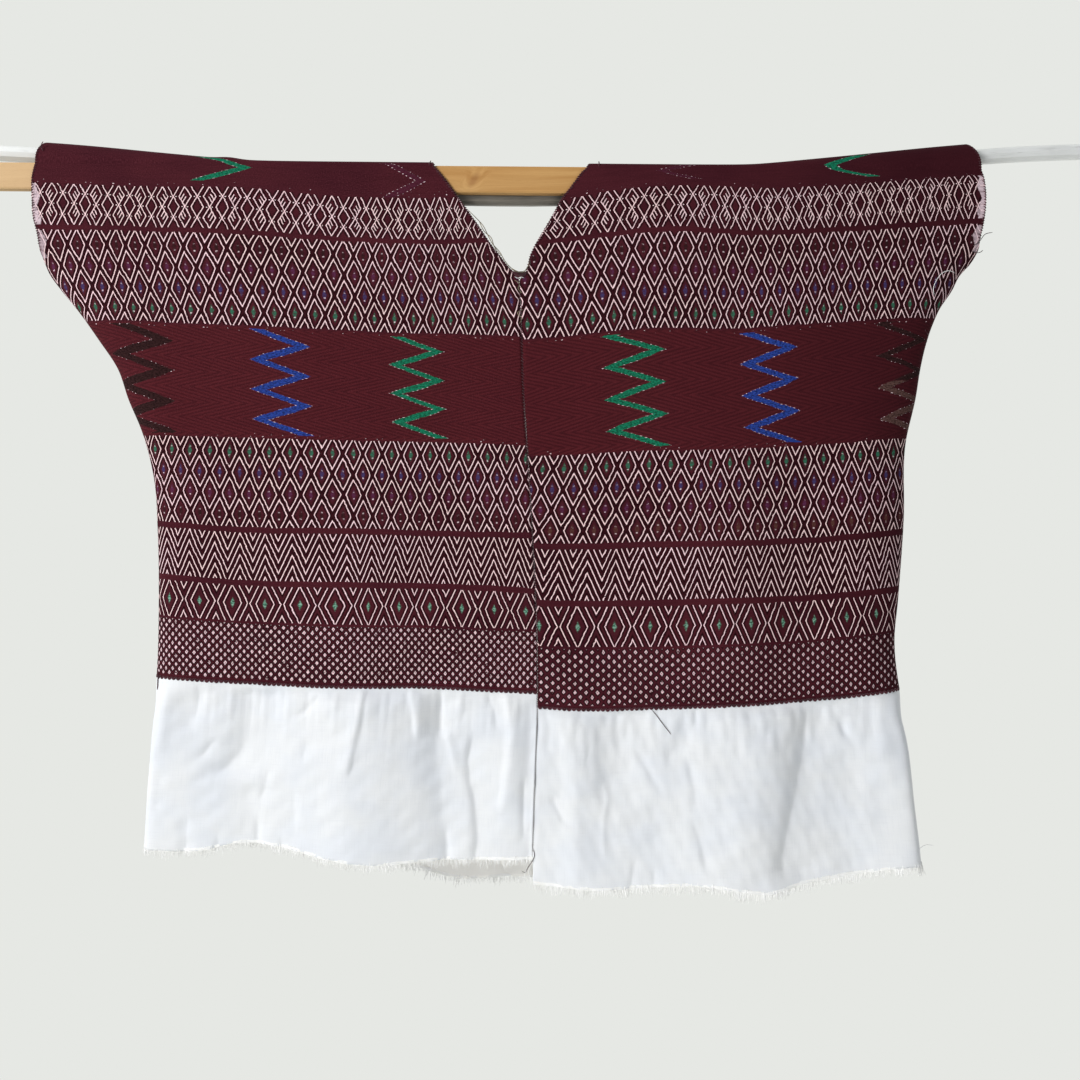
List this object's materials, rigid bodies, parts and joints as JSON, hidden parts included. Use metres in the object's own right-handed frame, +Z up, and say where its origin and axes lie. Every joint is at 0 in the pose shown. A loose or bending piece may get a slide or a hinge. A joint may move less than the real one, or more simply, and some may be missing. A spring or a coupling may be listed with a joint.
{
  "type": "huipil blouse on a hanging bar",
  "caption": "Brocaded huipil blouse of two joined panels with a V neck, open sleeves and a frayed white tail, hung flat over a wooden slat and a thin white rod.",
  "frame": {"origin": "middle of the wooden slat, in the neck gap between the two shoulders", "axes": "+Z up, the blouse's front faces -Y, +X to the right as seen from the front"},
  "size_m": [0.9515, 0.0511, 0.6459],
  "materials": {
    "burgundy_brocade": "thick woven cotton brocade, matt",
    "white_cotton": "plain woven cotton, matt",
    "pale_wood": "bare planed wood",
    "white_plastic": "smooth, slightly glossy"
  },
  "bodies": {
    "root": {"left_lienzo": "burgundy_brocade", "right_lienzo": "burgundy_brocade", "left_front_tail": "white_cotton", "right_front_tail": "white_cotton", "left_back_tail": "white_cotton", "right_back_tail": "white_cotton", "left_front_fray": "white_cotton", "right_front_fray": "white_cotton", "left_back_fray": "white_cotton", "right_back_fray": "white_cotton", "wooden_bar": "pale_wood", "white_rod": "white_plastic"}
  },
  "joints": []
}
